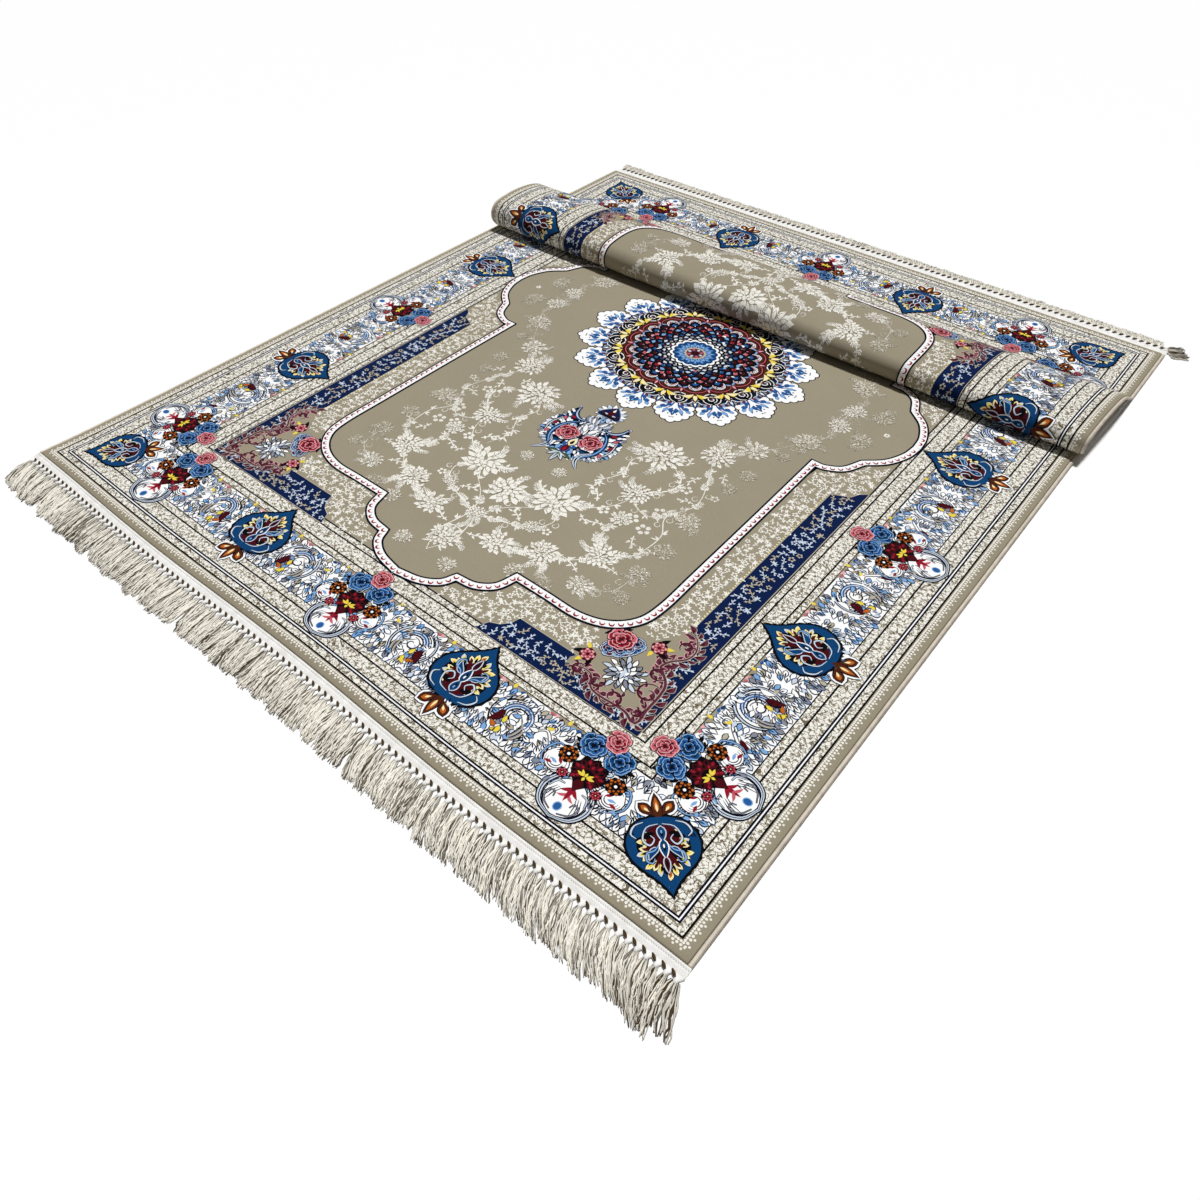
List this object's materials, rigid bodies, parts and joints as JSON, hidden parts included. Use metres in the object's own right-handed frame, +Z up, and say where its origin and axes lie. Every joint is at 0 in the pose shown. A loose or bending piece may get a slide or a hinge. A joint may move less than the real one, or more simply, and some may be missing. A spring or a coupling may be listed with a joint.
{
  "type": "persian carpet laid flat with a rolled fold",
  "caption": "Medallion carpet lying on the floor, with one soft rolled fold near its far end and knotted tassels at both ends.",
  "frame": {"origin": "centre of the whole piece's box, on the floor that it lies on", "axes": "+X to the right along the ends, +Y away along the length towards the rolled fold, +Z up"},
  "size_m": [1.57, 1.996, 0.0925],
  "materials": {
    "pile": "dense cut pile, taupe ground with ivory, navy, blue, red and rose figures",
    "binding": "overcast yarn edge, pinkish cream",
    "fringe": "ivory cotton tape and twisted yarn tassels"
  },
  "bodies": {
    "root": {"carpet": "pile", "binding_left": "binding", "binding_right": "binding", "fringe_near": "fringe", "fringe_far": "fringe"}
  },
  "joints": []
}
